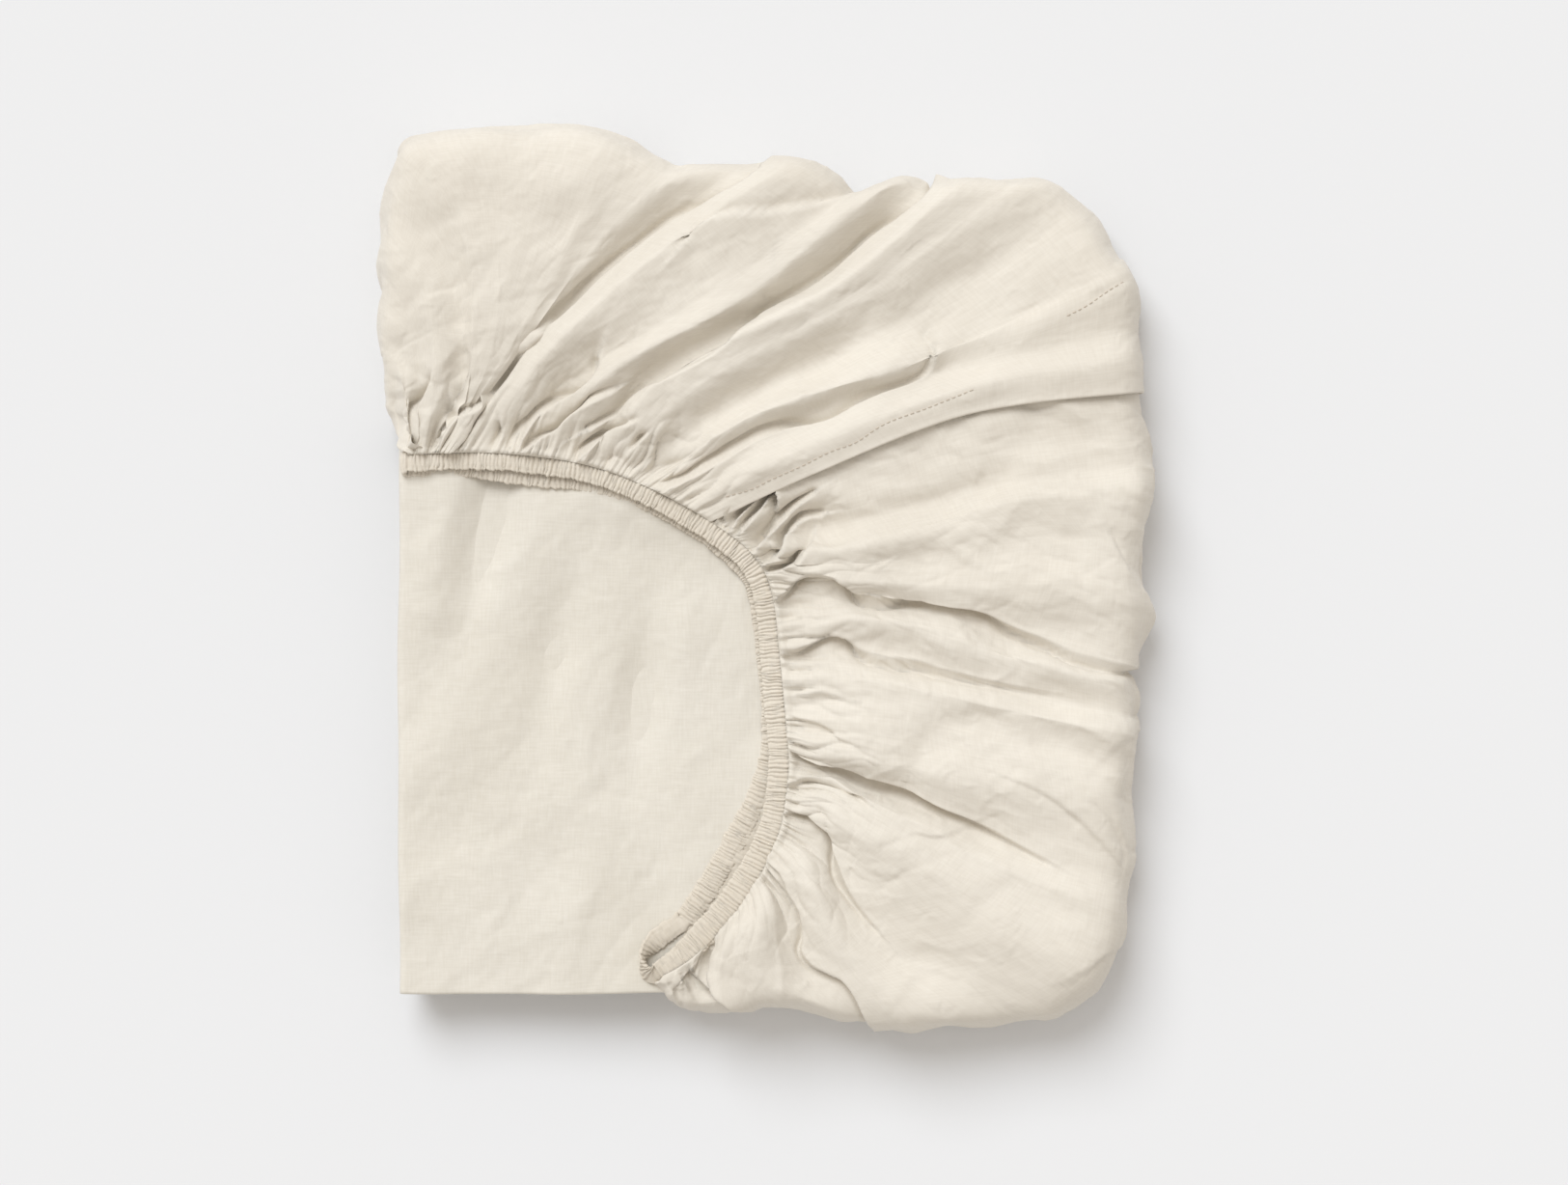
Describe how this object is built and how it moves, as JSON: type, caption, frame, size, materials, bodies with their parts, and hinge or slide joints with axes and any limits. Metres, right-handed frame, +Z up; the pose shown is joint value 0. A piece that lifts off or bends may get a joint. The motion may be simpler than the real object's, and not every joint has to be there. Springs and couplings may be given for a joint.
{
  "type": "folded fitted bed sheet",
  "caption": "Fitted bed sheet folded into a crumpled packet, gathered elastic hem and skirt folds on top, smooth panel at one corner.",
  "frame": {"origin": "middle of the packet's bounding box, on the surface it lies on", "axes": "+Z up, out of the gathered side; +Y along the packet's longer side, away from the smooth panel; +X towards the puffed right side"},
  "size_m": [0.4208, 0.4919, 0.0615],
  "materials": {
    "cotton": "crinkled ivory cotton percale",
    "gathered_cotton": "ivory cotton finely gathered over elastic"
  },
  "bodies": {
    "root": {"sheet_cloth": "cotton", "elastic_band": "gathered_cotton"}
  },
  "joints": []
}
